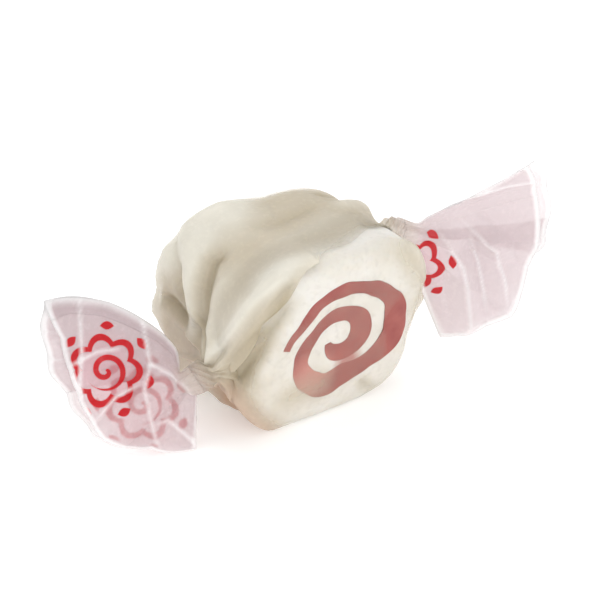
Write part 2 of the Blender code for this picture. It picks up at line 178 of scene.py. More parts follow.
# The two ends of the paper. The seam is the free edge's angle, by share of the way to the neck. The folds go
# across the fan: place from -1 to 1, share of its half angle, depth per length and share of its length.
# The bulge turns the upper side out, in degrees by share of the length, and near_cut cuts the near layer
# back, a share by angle. Creases are as on the body, with points in mm along and across the fan.
LEFT_END = {
    "side": -1.0,
    "neck_shift": (-4.0 * MM, 2.8 * MM),
    "ridges": (-78, -30, 6, 48, 84, 108, 144, 192, 234),
    "seam": ((0.0, 54.0), (0.15, 52.0), (0.3, 50.0), (0.43, 47.0), (0.5, 40.0), (0.7, 24.0), (1.0, 22.0)),
    "fan_to": (-0.844, 0.242, -0.481),
    "fan_spread_along": (-0.242, 0.628, 0.741),
    "fan_half_angle": 56.0,
    "fan_long": 20.3 * MM,
    "folds": ((-1.0, -1.00, 0.10, 0.46), (-0.6, -0.42, -0.06, 0.48), (-0.4, -0.20, 0.08, 0.58),
              (0.0, 0.12, -0.03, 0.68), (0.4, 0.46, 0.07, 0.77), (0.533, 0.60, -0.04, 0.84),
              (1.0, 1.00, 0.05, 1.00)),
    "curl": 1.2 * MM,
    "bulge": ((0.0, 20.0), (0.15, 34.0), (0.3, 31.0), (0.45, 25.0), (0.68, 18.0), (1.0, 4.0)),
    "near_cut": ((-60, 1.0), (0, 1.0), (13, 0.93), (22, 0.92), (36, 0.865), (50, 0.88), (60, 1.0)),
    "near_creases": (
        (0.8, 2.4, ((6.4, 15.6), (7.4, 13.7), (9.5, 10.0), (11.9, 6.7), (12.6, 5.0))),
        (1.1, 2.4, ((0.4, 10.6), (1.7, 9.0), (3.6, 4.4), (5.8, 2.3), (7.2, -1.4), (7.9, -3.5), (8.2, -6.0))),
        (0.6, 1.6, ((4.0, 4.6), (3.4, 4.2), (0.3, -1.5), (-0.5, -3.0))),
        (0.5, 1.3, ((7.4, -1.8), (5.4, -2.2), (4.4, -5.6), (4.4, -7.6))),
        (-0.5, 1.6, ((5.4, 3.0), (9.0, 3.4), (13.6, 2.0))),
        (0.35, 1.5, ((5.0, 7.6), (8.0, 9.0), (12.6, 9.4))),
    ),
    "far_creases": (
        (0.7, 2.2, ((1.0, 2.0), (6.0, 6.0), (13.5, 11.5), (15.0, 12.6))),
        (-0.5, 1.6, ((5.4, 3.0), (9.0, 3.4), (13.6, 2.0))),
        (-0.6, 1.8, ((1.0, 0.4), (6.0, -0.6), (12.4, -1.0))),
        (0.7, 2.0, ((1.0, -1.4), (5.0, -3.0), (8.4, -5.0))),
        (-0.5, 1.8, ((4.0, 10.0), (9.0, 12.0), (14.0, 16.0))),
    ),
    "print_from": (40.0, 0.0),
}
RIGHT_END = {
    "side": 1.0,
    "neck_shift": (0.0, 0.8 * MM),
    "ridges": (-60, -18, 30, 66, 102, 150, 180, 222, 264),
    "seam": ((0.0, 56.0), (0.5, 60.0), (1.0, 48.0)),
    "fan_to": (0.907, -0.234, -0.337),
    "fan_spread_along": (0.282, -0.209, 0.931),
    "fan_half_angle": 50.0,
    "fan_long": 19.5 * MM,
    "folds": ((-1.0, -1.00, 0.04, 0.90), (-0.533, -0.45, -0.08, 0.98), (-0.267, -0.12, 0.10, 1.02),
              (0.133, 0.20, -0.06, 0.97), (0.533, 0.55, 0.10, 1.00), (1.0, 1.00, -0.05, 0.92)),
    "curl": -1.6 * MM,
    "bulge": ((0.0, 0.0), (1.0, 0.0)),
    "near_cut": ((-60, 1.0), (-36, 0.96), (-20, 1.0), (0, 0.93), (30, 0.9), (60, 1.0)),
    "near_creases": (
        (1.4, 2.2, ((4.0, 2.0), (9.1, -2.3), (12.9, -9.5), (13.6, -12.0))),
        (-1.1, 1.8, ((8.0, 2.6), (12.0, -2.4), (15.0, -8.6))),
        (1.2, 2.2, ((6.0, 4.0), (12.5, 0.6), (15.2, -3.0), (17.0, -7.0))),
        (-0.7, 1.6, ((2.0, -3.0), (6.0, -6.6), (11.0, -13.6))),
        (0.9, 1.8, ((4.0, 6.0), (10.0, 10.0), (16.0, 12.0))),
    ),
    "far_creases": (
        (0.8, 2.2, ((2.0, 1.0), (10.0, 4.0), (18.0, 5.0))),
        (-1.1, 1.8, ((8.0, 2.6), (12.0, -2.4), (15.0, -8.6))),
        (-0.7, 1.6, ((2.0, -3.0), (6.0, -6.6), (11.0, -13.6))),
        (0.7, 2.0, ((2.0, 3.0), (8.0, 9.0), (12.0, 14.0))),
    ),
    "print_from": (40.0, 100.0),
}

# The print on the flat fans: each flower's middle in mm, and its turn in radians
FLOWERS = (((48.4, 6.6), 0.3), ((7.0, 1.0), 1.0), ((42.9, 95.7), 2.0))

# Colours of the paper: olive is painted shade in its dips, crest a painted highlight on its ridges, brown
# painted shade under the left neck
FILM_CREAM = (0.78, 0.71, 0.58, 1.0)
FILM_PAINTED_FOLD_SHADE = (0.57, 0.49, 0.33, 1.0)
FILM_PAINTED_HIGHLIGHT = (0.97, 0.95, 0.88, 1.0)
FILM_PAINTED_BROWN_SHADE = (0.72, 0.47, 0.30, 1.0)
FAN_PINK = (0.79, 0.685, 0.70, 1.0)
BLUSH_PINK = (0.86, 0.52, 0.58, 1.0)
PRINT_RED = (0.72, 0.01, 0.02, 1.0)
WHITE_EDGE = (1.0, 0.985, 0.985, 1.0)

# The studio: each light's name, place, size and power, and the camera
LIGHTS = (
    ("top light", (0.02, 0.02, 0.45), 0.16, 0.28),
    ("side light", (-0.45, -0.05, 0.25), 0.25, 0.1),
    ("front light", (-0.06, -0.42, 0.15), 0.22, 0.36),
    ("back light", (0.06, 0.36, 0.34), 0.22, 0.26),
)
SKY_LIGHT = 0.82
LIT_POINT = Vector((0.0, 0.0, 0.012))
CAMERA_AZIMUTH = math.radians(-33.0)
CAMERA_ELEVATION = math.radians(28.0)
CAMERA_AWAY = 0.75
CAMERA_LOOKS_AT = 0.011
VIEW_WIDTH = 72.0 * MM
SENSOR_WIDTH = 36.0
TABLE_HALF_SIZE = 1.5
TABLE_BELOW = 0.01 * MM


def smooth_step(low, high, value):
    share = np.clip((value - low) / (high - low), 0.0, 1.0)
    return share * share * (3.0 - 2.0 * share)


def unit(vector):
    vector = np.asarray(vector, float)
    return vector / np.linalg.norm(vector, axis=-1, keepdims=True)


def turned(vectors, axis, angle):
    """Vectors turned about a unit axis, by Rodrigues' formula."""
    vectors = np.asarray(vectors, float)
    along = (vectors @ axis)[..., None] * axis
    return along + (vectors - along) * math.cos(angle) + np.cross(axis, vectors) * math.sin(angle)


def uneven(directions):
    """A soft unevenness of the sweet, from -1 to 1, by direction from its middle."""
    x, y, z = np.moveaxis(np.asarray(directions, float), -1, 0)
    return (
        0.45 * np.sin(3.1 * x + 1.9 * y + 0.4) + 0.35 * np.sin(2.3 * z - 3.7 * y + 1.1)
        + 0.25 * np.sin(5.3 * x - 4.1 * z + 2.0) + 0.15 * np.sin(8.2 * z + 6.1 * x + 5.0 * y)
    )


def outline_share(x, z, grow=0.0):
    """How far a point of the face lies out from its middle, as a share of the outline."""
    level = x * math.cos(TWIST_RISE) - z * math.sin(TWIST_RISE)
    upright = x * math.sin(TWIST_RISE) + z * math.cos(TWIST_RISE)
    return (
        np.abs(level / (DISC_ALONG + grow)) ** OUTLINE_POWER
        + np.abs(upright / (DISC_UP + grow)) ** OUTLINE_POWER
    ) ** (1.0 / OUTLINE_POWER)


def disc_reach(directions, grow=0.0):
    """How far the disc's surface, grown all round by grow, lies from its middle."""
    across = outline_share(directions[..., 0], directions[..., 2], grow) ** EDGE_POWER
    through = np.abs(directions[..., 1] / (DISC_HALF_THICK + grow)) ** EDGE_POWER
    return (across + through) ** (-1.0 / EDGE_POWER)


def beside_line(points, line):
    """How far points lie from a line of points, and where along it the nearest place is, from 0 to 1."""
    nearest = np.full(points.shape[:-1], np.inf)
    share = np.zeros(points.shape[:-1])
    for step, (start, finish) in enumerate(zip(line, line[1:])):
        run = finish - start
        at = np.clip((points - start) @ run / (run @ run), 0.0, 1.0)
        gap = np.linalg.norm(points - start - at[..., None] * run, axis=-1)
        share = np.where(gap < nearest, (step + at) / (len(line) - 1), share)
        nearest = np.minimum(gap, nearest)
    return nearest, share


def crease(points, line, height, width, foot=1.25):
    """A sharp fold along a line with soft feet, which dies out at both ends."""
    away, share = beside_line(points, np.array(line, float))
    fades = np.clip(4.0 * np.minimum(share, 1.0 - share), 0.0, 1.0)
    return height * fades * np.clip(1.0 - away / width, 0.0, 1.0) ** foot


def way(lean, theta, side=1.0):
    """The direction from the sweet's middle at a lean towards the neck and an angle round the twist."""
    lean, theta = np.radians(lean), np.radians(theta)
    level = np.cos(lean)
    return np.stack([side * np.sin(lean), -level * np.cos(theta), level * np.sin(theta)], axis=-1)


def sweet_reach(directions, grow):
    """How far the sweet's own surface, grown all round by grow, lies from its middle."""
    height, width, stations = FLAT_CORNER
    line = np.array([way(lean, theta) for lean, theta in stations]) * CREASE_REACH
    flat = crease(directions * CREASE_REACH, line, height * MM, width * MM)
    return disc_reach(directions, grow) + SWEET_UNEVEN * uneven(directions) + flat


def folds_at(directions):
    """How far the paper's creases stand out from, or dip into, the smooth sweet."""
    total = np.zeros(directions.shape[:-1])
    for height, width, stations in CREASES:
        line = [way(lean, theta) for lean, theta in stations]
        total += crease(directions * CREASE_REACH, np.array(line) * CREASE_REACH, height * MM, width * MM)
    return total


def pressed(directions, folds):
    """The sweet takes the paper's dips in full, and follows its ridges less towards the necks."""
    follows = 0.7 * (1.0 - smooth_step(0.6, 0.9, np.abs(directions[..., 0])))
    return np.where(folds < 0.0, folds, follows * folds)


def slanted(points):
    """The soft disc sags, so that its side lies level while its face leans over."""
    points = np.array(points, float)
    points[..., 0] += SLANT * UP_IN_DISC[0] * points[..., 1]
    points[..., 2] += SLANT * UP_IN_DISC[2] * points[..., 1]
    return points


def find_middle():
    """The middle of the sweet, found from the CAD sweet's box."""
    azimuth, height = np.meshgrid(np.linspace(0, 2 * math.pi, 181), np.linspace(-1.0, 1.0, 91))
    flat = np.sqrt(1.0 - height**2)
    directions = np.stack([flat * np.cos(azimuth), flat * np.sin(azimuth), height], axis=-1)
    surface = slanted(directions * disc_reach(directions)[..., None]) @ LIE_ROWS.T
    low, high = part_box("taffy")
    return np.array([(low.x + high.x) / 2, (low.y + high.y) / 2, high.z - surface[..., 2].max()])


MIDDLE = find_middle()


def laid_down(points):
    """From the disc's own frame to where it lies."""
    return slanted(points) @ LIE_ROWS.T + MIDDLE


def new_piece(name, bm, material):
    """An object made of a bmesh, smooth shaded, with its place in its mesh."""
    mesh = bpy.data.meshes.new(name)
    bm.to_mesh(mesh)
    bm.free()
    piece = bpy.data.objects.new(name, mesh)
    bpy.context.scene.collection.objects.link(piece)
    mesh.materials.append(material)
    mesh.shade_smooth()
    return piece


def sweet_shape():
    """The sweet: a spun disc, moved out to its uneven surface and flat underneath."""
    bm = bmesh.new()
    profile = []
    for step in range(2 * EDGE_STEPS + 1):
        angle = math.pi / 2 * (1.0 - step / EDGE_STEPS)
        out = math.cos(angle) if 0 < step < 2 * EDGE_STEPS else 0.0
        profile.append(bm.verts.new((out, math.sin(angle), 0.0)))
    edges = [bm.edges.new(pair) for pair in zip(profile, profile[1:])]
    bmesh.ops.spin(
        bm, geom=profile + edges, cent=(0, 0, 0), axis=(0, 1, 0), angle=2 * math.pi,
        steps=SPIN_STEPS, use_merge=True,
    )
    bmesh.ops.remove_doubles(bm, verts=bm.verts, dist=1e-5)
    directions = unit([vert.co for vert in bm.verts])
    reach = sweet_reach(directions, SWEET_GROWS) + pressed(directions, folds_at(directions))
    for vert, point in zip(bm.verts, laid_down(directions * reach[:, None])):
        vert.co = (point[0], point[1], max(point[2], SWEET_FLOOR))
    bmesh.ops.recalc_face_normals(bm, faces=bm.faces)
    return bm


def through(stations, steps):
    """Rows of numbers that run smoothly through the stations, with steps rows from each to the next."""
    known = np.array(stations, float)
    known = np.vstack([2 * known[0] - known[1], known, 2 * known[-1] - known[-2]])
    rows = []
    for first, second, third, fourth in zip(known, known[1:], known[2:], known[3:]):
        for u in np.arange(steps) / steps:
            rows.append(0.5 * (2 * second + (third - first) * u
                               + (2 * first - 5 * second + 4 * third - fourth) * u**2
                               + (3 * second - first - 3 * third + fourth) * u**3))
    return np.array(rows + [known[-2]])


def swirl_shape(grow, past_face):
    """The swirl's strip, run through the sweet and wavering a little. It ends past_face beyond each face."""
    angle, reach, half = through(SWIRL_STATIONS, SWIRL_STEPS).T
    angle = np.radians(angle) - TWIST_RISE
    line = np.column_stack([reach * np.cos(angle), reach * np.sin(angle)]) * MM
    half = half * MM
    along = unit(np.gradient(line, axis=0))
    across = np.column_stack([-along[:, 1], along[:, 0]])
    run = np.append(0.0, np.cumsum(np.linalg.norm(np.diff(line, axis=0), axis=1))) / MM
    waver = SWIRL_WAVER * np.clip(reach / 6.0, 0.0, 1.0) ** 1.5
    left_waver = waver * (np.sin(run * 1.3 + 0.4) + 0.3 * np.sin(run * 2.9 + 2.0)) / 1.3
    right_waver = waver * (np.sin(run * 1.1 + 3.1) + 0.3 * np.sin(run * 2.5 + 1.0)) / 1.3
    line[0] -= along[0] * grow
    line[-1] += along[-1] * grow
    left = line + across * (half + grow + left_waver)[:, None]
    right = line - across * (half + grow + right_waver)[:, None]
    outline = np.concatenate([left, right[::-1]])
    bm = bmesh.new()
    face = bm.faces.new([bm.verts.new((x, -1.0, z)) for x, z in outline])
    made = bmesh.ops.extrude_face_region(bm, geom=[face])["geom"]
    bmesh.ops.translate(
        bm, verts=[g for g in made if isinstance(g, bmesh.types.BMVert)], vec=(0.0, 2.0, 0.0)
    )
    for vert in bm.verts:
        filled = outline_share(vert.co.x, vert.co.z, SWEET_GROWS) ** EDGE_POWER
        level = (DISC_HALF_THICK + SWEET_GROWS) * (1.0 - filled) ** (1.0 / EDGE_POWER)
        point = np.array([vert.co.x, vert.co.y * level, vert.co.z])
        facing = unit(point)
        level += SWEET_UNEVEN * float(uneven(facing)) + float(pressed(facing, folds_at(facing))) + past_face
        vert.co = Vector(laid_down((vert.co.x, vert.co.y * level, vert.co.z)))
    bmesh.ops.recalc_face_normals(bm, faces=bm.faces)
    bmesh.ops.triangulate(bm, faces=bm.faces, ngon_method="EAR_CLIP")
    return bm


def take_out(piece, cutter):
    """Cuts the cutter's shape out of the piece for good, and removes the cutter."""
    cut = piece.modifiers.new("slot", "BOOLEAN")
    cut.operation = "DIFFERENCE"
    cut.solver = "EXACT"
    cut.object = cutter
    bpy.context.view_layer.update()
    solid = piece.evaluated_get(bpy.context.evaluated_depsgraph_get())
    old = piece.data
    piece.data = bpy.data.meshes.new_from_object(solid)
    piece.modifiers.clear()
    bpy.data.objects.remove(cutter)
    piece.data.name = old.name
    bpy.data.meshes.remove(old)
    piece.data.shade_smooth()
    piece.data.set_sharp_from_angle(angle=SHARP_ANGLE)


def pleats(theta, ridges):
    """0 on each ridge of the gathered paper and 1 in each valley, which lies nearer the ridge before it."""
    angles, heights = [], []
    for ridge, following in zip(ridges, (*ridges[1:], ridges[0] + 360)):
        valley = PLEAT_ANGLE_STEP * round((ridge + 0.4 * (following - ridge)) / PLEAT_ANGLE_STEP)
        angles += [ridge, valley]
        heights += [0.0, 1.0]
    return np.interp(theta, angles, heights, period=360.0)


def fine_pleats(theta):
    """Small creases between the main ones, from 0 to 1, with sharp ridges."""
    wave = 0.5 * np.abs(np.sin(np.radians(theta * 4.5 + 20.0 * np.sin(np.radians(theta * 3.0)))))
    return wave + 0.5 * np.abs(np.sin(np.radians(theta * 8.5 + 31.0 * np.sin(np.radians(theta * 2.0)))))


def half_body(theta, end):
    """The taut paper at one angle round, as points from the disc's middle to the neck."""
    lean = np.linspace(0.0, math.pi / 2, PROFILE_SAMPLES)
    reach = sweet_reach(way(np.degrees(lean), theta, end["side"]), FILM_GAP)
    along, out = reach * np.sin(lean), reach * np.cos(lean)
    leaves = int(np.argmax(np.arctan2(out - NECK_RADIUS, NECK_REACH - along)))
    inward = unit((NECK_RADIUS - out[leaves], along[leaves] - NECK_REACH))
    along = np.append(along[: leaves + 1], NECK_REACH)
    out = np.append(out[: leaves + 1], NECK_RADIUS)
    length = np.append(0.0, np.cumsum(np.hypot(np.diff(along), np.diff(out))))
    at = np.linspace(0.0, length[-1], BODY_ROWS + 1)
    free = np.clip((at - length[-2]) / (length[-1] - length[-2]), 0.0, 1.0)
    along, out = np.interp(at, length, along), np.interp(at, length, out)
    fold = pleats(theta, end["ridges"])
    opening = smooth_step(0.0, 0.5, free) * (1.0 - 0.55 * smooth_step(0.6, 1.0, free))
    deep = PLEAT_DEPTH * opening * fold
    deep += FINE_PLEAT_DEPTH * smooth_step(0.0, 0.7, free) * fine_pleats(theta)
    loosens = (1.0 - smooth_step(0.0, RIDGE_STARTS, length[-2] - at)) * (1.0 - free)
    along = along + inward[0] * deep
    out = out + inward[1] * deep + RIDGE_LIFT * (1.0 - fold) ** 2 * loosens
    drawn = smooth_step(0.0, 1.0, free)
    compass = math.radians(theta)
    points = np.column_stack([
        end["side"] * along,
        -out * math.cos(compass) + end["neck_shift"][0] * drawn,
        out * math.sin(compass) + end["neck_shift"][1] * drawn,
    ])
    least = sweet_reach(unit(points), FILM_GAP)
    return points * np.maximum(1.0, least / np.linalg.norm(points, axis=1))[:, None]


def seam_shift(end, share, around):
    """How far round the sheet's columns move, so that its free edge runs slantwise and wavers."""
    places, angles = zip(*end["seam"])
    moved = np.interp(share, places, angles) - SEAM_ANGLE
    moved += 1.6 * math.sin(share * 11.0 + 0.8) + 0.8 * math.sin(share * 19.0)
    return moved * np.clip(1.0 - around / SEAM_ROUND, 0.0, 1.0) ** 1.5


def spiral(around):
    """Each layer of the rolled sheet lies a little outside the one beneath."""
    return FILM_SPIRAL * (1.0 - around / SHEET_TURNS)


def flap_height(end, share):
    """How high the sheet's free edge stands off, by share of the way to the neck."""
    if end["side"] > 0:
        return FLAP_STANDS * (1.0 - smooth_step(0.0, 0.12, share))
    return FLAP_STANDS + FLAP_LIFTS * np.interp(share, (0.2, 0.45, 0.8, 1.0), (0.0, 1.0, 1.0, 0.2))


def body_rows(end, around):
    """Rows of the sheet from the disc's middle to the neck: points, lift off the sweet and depth of dips.

    With them come the angles of the last row's points round the twist.
    """
    table = np.array([half_body(angle, end) for angle in np.arange(0.0, 360.0, TABLE_STEP)])
    flap = np.clip(1.0 - around / FLAP_ROUND, 0.0, 1.0) ** 1.4
    rows = []
    for row in range(BODY_ROWS + 1):
        share = row / BODY_ROWS
        theta = SEAM_ANGLE + around + seam_shift(end, share, around)
        at = (theta % 360.0) / TABLE_STEP
        low = np.floor(at).astype(int)
        mix = (at - low)[:, None]
        points = table[low % len(table), row] * (1 - mix) + table[(low + 1) % len(table), row] * mix
        facing = unit(points)
        folds = folds_at(facing)
        stands = flap_height(end, share) * flap + spiral(around) + folds
        points = points * (1.0 + stands / np.linalg.norm(points, axis=1))[:, None]
        lift = np.linalg.norm(points, axis=1) - sweet_reach(facing, FILM_GAP) - pressed(facing, folds)
        points = laid_down(points)
        points[:, 2] = np.maximum(points[:, 2], 0.0)
        rows.append((points, lift, np.clip(-folds / MM, -1.0, 1.0)))
    return rows, theta


def neck_rings(end):
    """Where the neck's rings are centred, and two directions across each, as it bends over to the fan."""
    start = LIE_ROWS @ np.array([end["side"], 0.0, 0.0])
    finish = unit(end["fan_to"])
    axis = unit(np.cross(start, finish))
    bend = math.acos(float(np.clip(start @ finish, -1.0, 1.0)))
    place = laid_down(np.array([end["side"] * NECK_REACH, *end["neck_shift"]]))
    across, up = LIE_ROWS @ np.array([0.0, -1.0, 0.0]), LIE_ROWS @ np.array([0.0, 0.0, 1.0])
    rings = []
    for row in range(1, NECK_ROWS + 1):
        angle = bend * row / NECK_ROWS
        place = place + turned(start, axis, angle) * NECK_LONG / NECK_ROWS
        rings.append((place, turned(across, axis, angle), turned(up, axis, angle)))
    return rings, finish


def gathered(end, theta, around, ring, turn):
    """Points of the gathered paper round one ring of the neck, turned by the twist so far."""
    place, across, up = ring
    radius = NECK_RADIUS * (1.0 - NECK_PLEAT * pleats(theta, end["ridges"])) + spiral(around)
    compass = np.radians(theta + turn)[:, None]
    return place + radius[:, None] * (np.cos(compass) * across + np.sin(compass) * up)


def flat_fan(end, alpha, around, reach):
    """One row of the fan: its points spread flat, how far they lift off that plane, and how white they are.

    The near layer has alpha below 0, and the far layer above.
    """
    places, shares, depths, reaches = (np.array(column) for column in zip(*end["folds"]))
    place = 1.0 - np.abs(alpha) / 90.0
    share = reach / end["fan_long"]
    near = alpha < 0
    spreads = np.interp(place, places, shares)
    angle = np.radians(end["fan_half_angle"] * spreads)
    angle += np.radians(np.interp(share, *zip(*end["bulge"]))) * np.clip(spreads, 0.0, 1.0) ** 2
    cut = np.interp(np.degrees(angle), *zip(*end["near_cut"]))
    length = reach * np.interp(place, places, reaches)
    length *= np.where(near, cut, 1.0 + 0.012 * np.sin(angle * 23.0))
    flat = np.column_stack([length * np.cos(angle), length * np.sin(angle)])
    from_fold = np.minimum(np.abs(alpha), 180.0 - np.abs(alpha))
    layer = np.sign(alpha) * np.sqrt(np.clip(from_fold / 12.0, 0.0, 1.0))
    parted = LAYERS_APART + LAYERS_SPREAD * share**2 * (1.0 - place**2)
    lift = length * np.interp(place, places, depths)
    lift += end["curl"] * share**2 * np.sin(angle) ** 2 + layer * (parted + spiral(around))
    white = 1.0 + 1.4 * smooth_step(0.955, 0.98, share) + 0.8 * smooth_step(0.93, 1.0, np.abs(place))
    for name, here, bright in (("near_creases", near, 0.8), ("far_creases", ~near, 0.4)):
        for height, width, line in end[name]:
            lift -= np.where(here, crease(flat / MM, line, height, width, 1.0) * MM, 0.0)
            white += np.where(here, crease(flat / MM, line, bright, WHITE_LINE_WIDTH), 0.0)
    return flat, lift, white


def fan_row(end, theta, around, reach, ring, heading):
    """One row of the fan: a ring of the neck that opens into a folded sheet with a near and a far layer."""
    root, across, up = ring
    spread = unit(end["fan_spread_along"] - np.dot(end["fan_spread_along"], heading) * heading)
    handed = math.copysign(1.0, np.cross(across, up) @ heading)
    normal = handed * np.cross(heading, spread)
    compass = math.degrees(math.atan2(spread @ up, spread @ across)) - TWIST
    fold = PLEAT_ANGLE_STEP * round(compass / PLEAT_ANGLE_STEP)
    alpha = (theta - fold + 180.0) % 360.0 - 180.0
    flat, lift, white = flat_fan(end, alpha, around, reach)
    sheet = root + flat[:, :1] * heading + flat[:, 1:] * spread + lift[:, None] * normal
    opened = smooth_step(0.0, NECK_SPREADS_OVER, reach)
    neck = gathered(end, theta, around, (root + reach * heading, across, up), TWIST)
    flat[:, 0] += np.where(alpha < 0, end["print_from"][0] * MM, 0.0)
    flat[:, 1] += end["print_from"][1] * MM
    return neck * (1.0 - opened) + sheet * opened, flat, white


def soft_band(facing, line, strength, width, foot):
    """A soft band along a line of places on the sweet, each a lean and an angle, for painted brown shade and
    for haze. Its width is in mm.
    """
    stations = [way(*place) * CREASE_REACH / MM for place in line]
    return crease(facing * CREASE_REACH / MM, stations, strength, width, foot)


def body_haze(end, facing, lift, around):
    """How white the paper is: clear on the faces and on the layer beneath, white where it stands off."""
    beneath = smooth_step(340.0, 362.0, around)
    width, line = FACE_HAZE
    off_face = 1.0 - smooth_step(0.50, 0.68, np.abs(facing[:, 1]))
    haze = np.clip(lift / MM, 0.0, 1.0) + soft_band(facing, line, 0.9, width, 1.2) + 1.1 * off_face
    haze = haze * (1.0 - beneath) - 0.4 * beneath
    if end["side"] > 0:
        haze *= smooth_step(-4.0, 16.0, around)
    return haze


def end_rows(end, around):
    """Rows of one end of the sheet, from the middle out.

    Of each row: points, haze, how far it is fan, places on the print, dips, and painted brown shade under
    the left neck.
    """
    rows, theta = body_rows(end, around)
    unprinted = np.full((len(around), 2), UNPRINTED)
    none = np.zeros(len(around))
    # Painted brown shade under the left neck
    width, line = PAINTED_UNDERSIDE_SHADE
    data = []
    for points, lift, dip in rows:
        facing = unit(points - MIDDLE) @ LIE_ROWS
        painted_brown_shade = soft_band(facing, line, 1.0, width, 0.7)
        data.append((points, body_haze(end, facing, lift, around), 0.0, unprinted, dip, painted_brown_shade))
    rings, heading = neck_rings(end)
    for row, ring in enumerate(rings, start=1):
        share = row / NECK_ROWS
        points = gathered(end, theta, around, ring, TWIST * share)
        data.append((points, none + 1.0, 0.5 * share, unprinted, none, none))
    for step in range(1, FAN_ROWS + 1):
        reach = end["fan_long"] * step / FAN_ROWS
        points, flat, white = fan_row(end, theta, around, reach, rings[-1], heading)
        low = points[:, 2] < FLOOR_EASE
        points[low, 2] = FLOOR_EASE * np.exp(points[low, 2] / FLOOR_EASE - 1.0)
        points[:, 2] = np.maximum(points[:, 2], TABLE_CLEARANCE)
        opened = float(smooth_step(0.0, NECK_SPREADS_OVER, reach))
        data.append((points, white, 0.5 + 0.5 * opened, flat, none, none))
    return data


def paper_shape(rows):
    """A part of the sheet of paper as a grid, every point of it placed by its row and column."""
    last = len(rows) - 1
    bm = bmesh.new()
    bmesh.ops.create_grid(bm, x_segments=COLUMNS, y_segments=last, size=1.0)
    haze = bm.verts.layers.float.new("haze")
    fan = bm.verts.layers.float.new("fan")
    # dip is the depth of dips, painted as shade in dips and as a highlight on ridges; the next layer is
    # painted brown shade
    dip = bm.verts.layers.float.new("dip")
    painted_brown_shade = bm.verts.layers.float.new("painted_brown_shade")
    print_place = bm.loops.layers.uv.new("print")
    flats = {}
    for vert in bm.verts:
        column = round((vert.co.x + 1.0) / 2.0 * COLUMNS)
        row = round((vert.co.y + 1.0) / 2.0 * last)
        points, white, in_fan, flat, dips, shade = rows[row]
        vert.co = points[column]
        vert[haze] = float(white[column])
        vert[fan] = float(in_fan)
        vert[dip] = float(dips[column])
        vert[painted_brown_shade] = float(shade[column])
        flats[vert] = flat[column] / MM
    for face in bm.faces:
        for loop in face.loops:
            loop[print_place].uv = flats[loop.vert]
    bmesh.ops.recalc_face_normals(bm, faces=bm.faces)
    return bm


def new_material(name):
    material = bpy.data.materials.new(name)
    material.use_nodes = True
    material.node_tree.nodes.clear()
    return material


def add(tree, kind, **values):
    """A shader node with its settings, and its sockets set or linked by name."""
    node = tree.nodes.new(kind)
    for name, value in values.pop("settings", {}).items():
        setattr(node, name, value)
    for name, value in values.pop("sockets", {}).items():
        socket = node.inputs[name]
        if isinstance(value, bpy.types.NodeSocket):
            tree.links.new(value, socket)
        else:
            socket.default_value = value
    return node


def maths(tree, operation, first, second=0.0, third=0.0):
    sockets = {0: first, 1: second, 2: third}
    return add(tree, "ShaderNodeMath", settings={"operation": operation}, sockets=sockets).outputs[0]


def blend(tree, share, first, second):
    sockets = {"Factor": share, 6: first, 7: second}
    return add(tree, "ShaderNodeMix", settings={"data_type": "RGBA"}, sockets=sockets).outputs[2]


def remap(tree, value, low, high, to_low=0.0, to_high=1.0):
    sockets = {0: value, 1: low, 2: high, 3: to_low, 4: to_high}
    return add(tree, "ShaderNodeMapRange", sockets=sockets).outputs[0]


def noise(tree, place, scale, detail):
    sockets = {"Vector": place, "Scale": scale, "Detail": detail}
    return add(tree, "ShaderNodeTexNoise", sockets=sockets).outputs[0]


def object_place(tree):
    return add(tree, "ShaderNodeTexCoord").outputs["Object"]


def attribute(tree, name):
    return add(tree, "ShaderNodeAttribute", settings={"attribute_name": name}).outputs["Fac"]


def surface(tree, shader):
    add(tree, "ShaderNodeOutputMaterial", sockets={"Surface": shader.outputs[0]})


def near_spot(tree, place, spot, full, none):
    """1 within full metres of a spot on the sweet, given as lean and angle, and 0 from none metres on."""
    direction = way(*spot)
    middle = Vector(laid_down(direction * sweet_reach(direction, SWEET_GROWS)))
    sockets = {0: place, 1: middle}
    away = add(tree, "ShaderNodeVectorMath", settings={"operation": "DISTANCE"}, sockets=sockets)
    return remap(tree, away.outputs[1], full, none, 1.0, 0.0)


def taffy_surface(tree, place, colour, grain_scale, depth):
    """Soft, slightly shiny taffy with a fine grain. Light sinks in by depth: weight, radius and scale."""
    grain = noise(tree, place, grain_scale, 3.0)
    bumps = add(tree, "ShaderNodeBump", sockets={"Height": grain, "Distance": 0.00003, "Strength": 0.4})
    weight, radius, scale = depth
    shader = add(tree, "ShaderNodeBsdfPrincipled", sockets={
        "Base Color": colour, "Roughness": 0.42, "Normal": bumps.outputs[0],
        "Subsurface Weight": weight, "Subsurface Radius": radius, "Subsurface Scale": scale,
    })
    surface(tree, shader)


def cream_taffy():
    """Soft cream taffy, faintly mottled, with a little red bled into it in the swirl's crook."""
    material = new_material("cream taffy")
    tree = material.node_tree
    place = object_place(tree)
    mottled = remap(tree, noise(tree, place, 260.0, 5.0), 0.35, 0.7)
    colour = blend(tree, mottled, (0.775, 0.75, 0.70, 1.0), (0.73, 0.70, 0.64, 1.0))
    bled = maths(tree, "MULTIPLY", near_spot(tree, place, BLEED_AT, 0.0009, 0.0024), 0.85)
    colour = blend(tree, bled, colour, (0.42, 0.11, 0.09, 1.0))
    taffy_surface(tree, place, colour, 2600.0, (0.3, (1.0, 0.75, 0.5), 0.0006))
    return material


